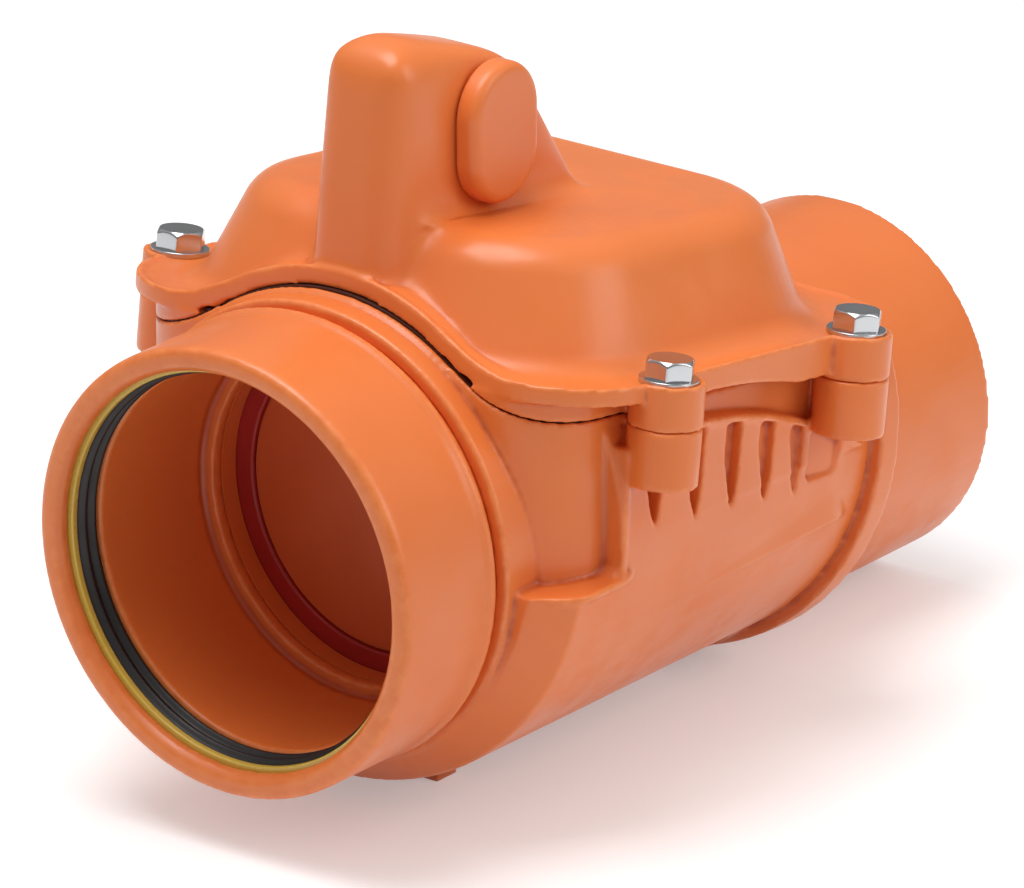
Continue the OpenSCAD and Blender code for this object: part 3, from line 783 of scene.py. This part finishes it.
MOULDINGS: tuple[Moulding, ...] = (
    Moulding("valve_body", Body.HOUSING, Slot.BODY, 0.75 * MM, 8),
    Moulding("cover", Body.HOUSING, Slot.COVER, 0.75 * MM, 10, (TOWER,)),
    Moulding("inlet_socket", Body.HOUSING, Slot.BODY, 0.9 * MM, 8),
    Moulding("lock_knob", Body.LOCK, Slot.COVER, 0.45 * MM, 12),
)


@dataclass(frozen=True)
class Turned:
    """A ring turned about the inlet's axis from a closed outline.

    Attributes:
        node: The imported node.
        slot: Its material slot.
        outline: Rows of radius and station from the mouth, in metres.
        mouth: The mouth's station in the part's frame.
        height: The inlet axis above the floor.
    """

    node: str
    slot: Slot
    outline: np.ndarray
    mouth: float = -0.1455
    height: float = 0.083

    def build(self, looks: Looks) -> None:
        """Turns the outline: at each angle a point stands off the axis by its radius times cosine and sine.

        Args:
            looks: The material of each slot.
        """
        radius = self.outline[:, :1]
        station = np.broadcast_to(self.mouth + self.outline[:, 1:], (len(radius), RING_POINTS))
        across = radius * np.cos(RING_ANGLES)
        points = np.stack([station, across, self.height + radius * np.sin(RING_ANGLES)], axis=-1)
        faces = ring_faces(len(radius), RING_POINTS, True)[:, ::-1]
        piece = mesh_object(self.node + "_turned", points.reshape(-1, 3), faces.tolist())
        finish_piece(piece, self.node, Body.HOUSING, self.slot, looks)


@dataclass(frozen=True)
class SocketRings:
    """The lip seal in the socket and the ring that keeps it there.

    Attributes:
        bore: The radius of the socket's bore.
        groove: The radius of the seal's groove.
        start: The station of the retaining ring's front.
        split: The station where the seal starts.
        end: The station of the groove's end.
        rib: The height of the seal's lips.
        lips: How many lips the seal has.
        play: The gap round each ring.
        recess: How far the retaining ring stays behind the bore.
        ease: The rounding of the retaining ring's corners.
        steps: The points along the seal's inner face.
    """

    bore: float = 55.4 * MM
    groove: float = 61.0 * MM
    start: float = 5.0 * MM
    split: float = 7.2 * MM
    end: float = 15.4 * MM
    rib: float = 1.5 * MM
    lips: int = 2
    play: float = 0.1 * MM
    recess: float = 1.4 * MM
    ease: float = 0.6 * MM
    steps: int = 40

    def seal(self) -> np.ndarray:
        """Draws the seal: its inner face swings as a cosine along the axis, once for each lip.

        Returns:
            The outline's rows of radius and station.
        """
        along = np.linspace(0.0, 1.0, self.steps)
        inner = self.bore + self.play + self.rib * (0.5 + 0.5 * np.cos(2 * np.pi * self.lips * along))
        face = np.stack([inner, self.split + (self.end - self.split) * along], axis=-1)
        outer = self.groove - self.play
        back = np.array([[outer, self.end], [outer, self.split]])
        return np.concatenate([face, back])

    def retainer(self) -> np.ndarray:
        """Draws the retaining ring with eased corners.

        Returns:
            The outline's rows of radius and station.
        """
        inner = self.bore + self.recess
        outer = self.groove - self.play
        box = np.array([[inner, self.start], [inner, self.split], [outer, self.split], [outer, self.start]])
        return eased(box, self.ease)

    def build(self, looks: Looks) -> None:
        """Turns both rings.

        Args:
            looks: The material of each slot.
        """
        Turned("socket_seal", Slot.SEAL, self.seal()).build(looks)
        Turned("seal_retainer", Slot.RETAINER, self.retainer()).build(looks)


@dataclass(frozen=True)
class CoverBolts:
    """The four hexagon bolts of the cover and their washers.

    Attributes:
        origin: The point midway between the front bolts on the joint plane.
        tilt: The fall of the joint plane to the rear, in degrees.
        pitch: From the front bolts to the rear bolts.
        half: From the middle plane to the bolts.
        seat: The height of the washers above the joint plane.
        washer: The thickness of the washers.
        washer_radius: Their outer radius.
        shank: The radius of the bolts.
        depth: How far the bolts reach below the joint plane.
        flats: The width of the heads across their flats.
        head: The height of the heads.
        thread: The pitch of the thread.
        thread_swing: How far the thread swings to each side of its mean radius.
        chamfer: How far the head's top edge lies within its flats.
        chamfer_slope: How fast the head's chamfer narrows towards the top.
        chamfer_soft: The softness of the chamfer's edge.
        corner_power: The power of the mean that gives the head its corners.
        rim: The share of the head's radius where its flat top starts.
        tip: The share of the radius where the flat ends are closed.
        stem_rings: The rings along the shank.
        head_rings: The rings up the head's side.
        top_rings: The rings across the head's top.
        hole_play: The gap between shank and washer.
        washer_ease: The rounding of the washer's edges.
        sharp: The angle in degrees past which an edge stays sharp.
        count: How many bolts there are.
    """

    origin: Point = (-0.0575, 0.0, 0.121)
    tilt: float = 7.5
    pitch: float = 89.3 * MM
    half: float = 86.5 * MM
    seat: float = 12.0 * MM
    washer: float = 1.6 * MM
    washer_radius: float = 8.5 * MM
    shank: float = 4.0 * MM
    depth: float = 13.0 * MM
    flats: float = 13.0 * MM
    head: float = 5.44 * MM
    thread: float = 1.25 * MM
    thread_swing: float = 0.3 * MM
    chamfer: float = 0.2 * MM
    chamfer_slope: float = 1.14
    chamfer_soft: float = 0.2 * MM
    corner_power: float = 60.0
    rim: float = 0.97
    tip: float = 0.02
    stem_rings: int = 96
    head_rings: int = 24
    top_rings: int = 8
    hole_play: float = 0.2 * MM
    washer_ease: float = 0.35 * MM
    sharp: float = 35.0
    count: int = 4

    def spread(self, rings: np.ndarray) -> np.ndarray:
        """Sets a ring shape at each bolt and turns it with the cover about the Y axis.

        Args:
            rings: The points of one shape, about its own upright axis.

        Returns:
            The points of four shapes in the part's frame.
        """
        cosine = math.cos(math.radians(self.tilt))
        sine = math.sin(math.radians(self.tilt))
        turn = np.array([[cosine, 0, sine], [0, 1, 0], [-sine, 0, cosine]])
        x, y = np.meshgrid((0.0, self.pitch), (-self.half, self.half))
        spots = np.stack([x, y, np.zeros_like(x)], axis=-1).reshape(self.count, 1, 3)
        return (rings.reshape(1, -1, 3) + spots) @ turn.T + np.array(self.origin)

    def bolt_rings(self) -> np.ndarray:
        """Draws a bolt as rings of radius by angle and height.

        The thread's depth follows a cosine of the height over the pitch less the angle. The head's radius is
        half its flats over the high-power mean of six cosines, one for each flat, and no more than a cone
        that narrows towards the top, the lesser of both being taken with a soft corner.

        Returns:
            The rings' points.
        """
        base = self.seat + self.washer
        low = np.linspace(-self.depth, base, self.stem_rings)[:, None]
        groove = self.thread_swing * (1 - np.cos(2 * np.pi * low / self.thread - RING_ANGLES))
        stem = self.shank - groove * (low < self.seat)
        sides = np.pi / 3 * np.arange(6)[:, None, None]
        power = self.corner_power
        corner = np.sum(np.maximum(np.cos(RING_ANGLES - sides), 0.0) ** power, axis=0) ** (-1 / power)
        rise = np.linspace(0.0, self.head, self.head_rings)[:, None]
        cone = self.flats / 2 - self.chamfer + (self.head - rise) * self.chamfer_slope
        prism = self.flats / 2 * corner
        side = 0.5 * (prism + cone - np.sqrt((prism - cone) ** 2 + self.chamfer_soft ** 2))
        top = side[-1:] * np.linspace(self.rim, self.tip, self.top_rings)[:, None]
        radius = np.concatenate([stem[:1] * self.tip, stem, side, top])
        level = np.concatenate([low[:1], low, base + rise, np.full((self.top_rings, 1), base + self.head)])
        return self.turned(radius, level)

    def washer_rings(self) -> np.ndarray:
        """Draws a washer as rings turned from an eased outline.

        Returns:
            The rings' points.
        """
        inner = self.shank + self.hole_play
        outer = self.washer_radius
        top = self.seat + self.washer
        box = np.array([[inner, self.seat], [outer, self.seat], [outer, top], [inner, top]])
        outline = eased(box, self.washer_ease)
        return self.turned(outline[:, :1], outline[:, 1:])

    @staticmethod
    def turned(radius: np.ndarray, level: np.ndarray) -> np.ndarray:
        """Turns rings about an upright axis: a point stands off it by its radius times cosine and sine.

        Args:
            radius: The radius of each ring, one for all angles or one for each.
            level: The height of each ring.

        Returns:
            The rings' points.
        """
        height = np.broadcast_to(level, (len(level), RING_POINTS))
        return np.stack([radius * np.cos(RING_ANGLES), radius * np.sin(RING_ANGLES), height], axis=-1)

    def place(self, node: str, rings: np.ndarray, wrap: bool, looks: Looks) -> None:
        """Sets one shape at every bolt as a single piece, and closes the ends of open rings.

        Args:
            node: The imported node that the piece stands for.
            rings: The points of one shape.
            wrap: Whether the last ring joins the first.
            looks: The material of each slot.
        """
        rows = len(rings)
        shift = rows * RING_POINTS * np.arange(self.count)[:, None, None]
        faces = (ring_faces(rows, RING_POINTS, wrap)[None] + shift).reshape(-1, 4).tolist()
        if not wrap:
            edge = np.arange(RING_POINTS)
            ends = np.concatenate([edge[None, ::-1], edge[None] + (rows - 1) * RING_POINTS])
            faces += (ends[None] + shift).reshape(-1, RING_POINTS).tolist()
        piece = mesh_object(node + "_finish", self.spread(rings).reshape(-1, 3), faces)
        piece.data.set_sharp_from_angle(angle=math.radians(self.sharp))
        finish_piece(piece, node, Body.HOUSING, Slot.BOLT, looks)

    def build(self, looks: Looks) -> None:
        """Sets the bolts and the washers on the cover.

        Args:
            looks: The material of each slot.
        """
        self.place("cover_bolts", self.bolt_rings(), False, looks)
        self.place("cover_washers", self.washer_rings(), True, looks)


def dress_nodes(looks: Looks, gasket: bpy.types.Material) -> None:
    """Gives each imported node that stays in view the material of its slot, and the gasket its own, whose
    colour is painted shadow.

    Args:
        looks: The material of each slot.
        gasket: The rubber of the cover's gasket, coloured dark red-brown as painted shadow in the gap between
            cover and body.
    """
    for part in frame["record"]["subparts"]:
        node = frame["nodes"][part["node"]]
        finish = gasket if part["node"] == "cover_gasket" else looks[Slot(part["material_slot"])]
        node.data.materials.clear()
        node.data.materials.append(finish)
        LOG.info("%s takes %s", part["node"], finish.name)


def main() -> None:
    """Builds the finishes, the pieces and the studio in order."""
    logging.basicConfig(level=logging.INFO, format="%(name)s: %(message)s")
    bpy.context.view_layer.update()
    shared = SharedEffects()
    looks = {finish.slot: finish.material(shared) for finish in FINISHES}
    dress_nodes(looks, GASKET_SHADOW_FINISH.material(shared))
    for moulding in MOULDINGS:
        moulding.build(looks)
    SocketRings().build(looks)
    CoverBolts().build(looks)
    Studio().build()


if __name__ == "__main__":
    main()
